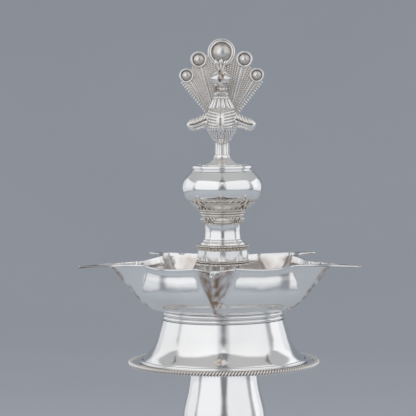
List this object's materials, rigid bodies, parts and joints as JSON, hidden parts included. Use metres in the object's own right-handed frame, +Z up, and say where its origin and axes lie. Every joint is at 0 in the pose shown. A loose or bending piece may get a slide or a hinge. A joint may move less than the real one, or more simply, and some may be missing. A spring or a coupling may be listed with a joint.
{
  "type": "standing oil lamp",
  "caption": "Standing puja oil lamp in polished silver: round base, vase stem, tray, flared skirt, spouted oil bowl and a peacock finial, in sections that unscrew.",
  "frame": {"origin": "on the lamp's upright axis, at the flat underside of the base", "axes": "+Z up along the axis, the peacock and the front spout face -Y, +X to the right seen from the front"},
  "size_m": [0.1398, 0.1335, 0.3561],
  "materials": {
    "polished_silver": "polished",
    "chased_silver": "satin",
    "brass_thread": "satin"
  },
  "bodies": {
    "base": {"base_plate": "polished_silver", "base_dome": "polished_silver", "base_rope": "chased_silver", "base_collar": "polished_silver", "base_bush": "brass_thread"},
    "stem_screw": {"stem_stud": "brass_thread"},
    "stem": {"stem_foot": "polished_silver", "stem_spindle": "polished_silver", "stem_knop": "polished_silver", "stem_vase": "polished_silver", "stem_top_plate": "polished_silver", "stem_bush": "brass_thread"},
    "tray_screw": {"tray_stud": "brass_thread"},
    "tray": {"tray_plate": "polished_silver", "tray_rope": "chased_silver", "skirt_ring": "polished_silver", "skirt": "polished_silver", "skirt_top_plate": "polished_silver", "skirt_bush": "brass_thread"},
    "bowl_screw": {"bowl_stud": "brass_thread"},
    "bowl": {"collar_plate": "polished_silver", "bowl_collar": "polished_silver", "oil_bowl": "polished_silver", "bowl_pillar": "polished_silver", "pillar_top_plate": "polished_silver", "pillar_bush": "brass_thread"},
    "crown_screw": {"drum_stud": "brass_thread"},
    "crown": {"drum_lower_flange": "chased_silver", "drum_shell": "polished_silver", "drum_upper_flange": "chased_silver", "neck_ring": "polished_silver", "neck_tube": "polished_silver", "knop_cone": "chased_silver", "knop_bulb": "polished_silver", "knop_cap": "polished_silver", "cap_bush": "brass_thread"},
    "finial_screw": {"finial_stud": "brass_thread"},
    "finial": {"finial_foot": "polished_silver", "peacock_body": "polished_silver", "peacock_head": "polished_silver", "peacock_crest": "polished_silver", "left_wing": "polished_silver", "right_wing": "polished_silver", "tail_fan": "chased_silver", "tail_ribs": "polished_silver", "tail_beading": "polished_silver", "feather_eyes": "polished_silver", "eye_beads": "polished_silver"}
  },
  "joints": [
    {"name": "stem_rise", "type": "slide", "parent": "base", "child": "stem_screw", "axis": [0, 0, 1], "range_m": [0, 0.006]},
    {"name": "stem_turn", "type": "hinge", "parent": "stem_screw", "child": "stem", "pos_m": [0, 0, 0.046], "axis": [0, 0, 1], "range_deg": [0, 1440]},
    {"name": "tray_rise", "type": "slide", "parent": "stem", "child": "tray_screw", "axis": [0, 0, 1], "range_m": [0, 0.006]},
    {"name": "tray_turn", "type": "hinge", "parent": "tray_screw", "child": "tray", "pos_m": [0, 0, 0.1935], "axis": [0, 0, 1], "range_deg": [0, 1440]},
    {"name": "bowl_rise", "type": "slide", "parent": "tray", "child": "bowl_screw", "axis": [0, 0, 1], "range_m": [0, 0.006]},
    {"name": "bowl_turn", "type": "hinge", "parent": "bowl_screw", "child": "bowl", "pos_m": [0, 0, 0.216], "axis": [0, 0, 1], "range_deg": [0, 1440]},
    {"name": "crown_rise", "type": "slide", "parent": "bowl", "child": "crown_screw", "axis": [0, 0, 1], "range_m": [0, 0.006]},
    {"name": "crown_turn", "type": "hinge", "parent": "crown_screw", "child": "crown", "pos_m": [0, 0, 0.243], "axis": [0, 0, 1], "range_deg": [0, 1440]},
    {"name": "finial_rise", "type": "slide", "parent": "crown", "child": "finial_screw", "axis": [0, 0, 1], "range_m": [0, 0.006]},
    {"name": "finial_turn", "type": "hinge", "parent": "finial_screw", "child": "finial", "pos_m": [0, 0, 0.2926], "axis": [0, 0, 1], "range_deg": [0, 1440]}
  ],
  "couplings": [
    {"joint": "stem_rise", "follows": "stem_turn", "m_per_rad": 0.00023873},
    {"joint": "tray_rise", "follows": "tray_turn", "m_per_rad": 0.00023873},
    {"joint": "bowl_rise", "follows": "bowl_turn", "m_per_rad": 0.00023873},
    {"joint": "crown_rise", "follows": "crown_turn", "m_per_rad": 0.00023873},
    {"joint": "finial_rise", "follows": "finial_turn", "m_per_rad": 0.00023873}
  ]
}
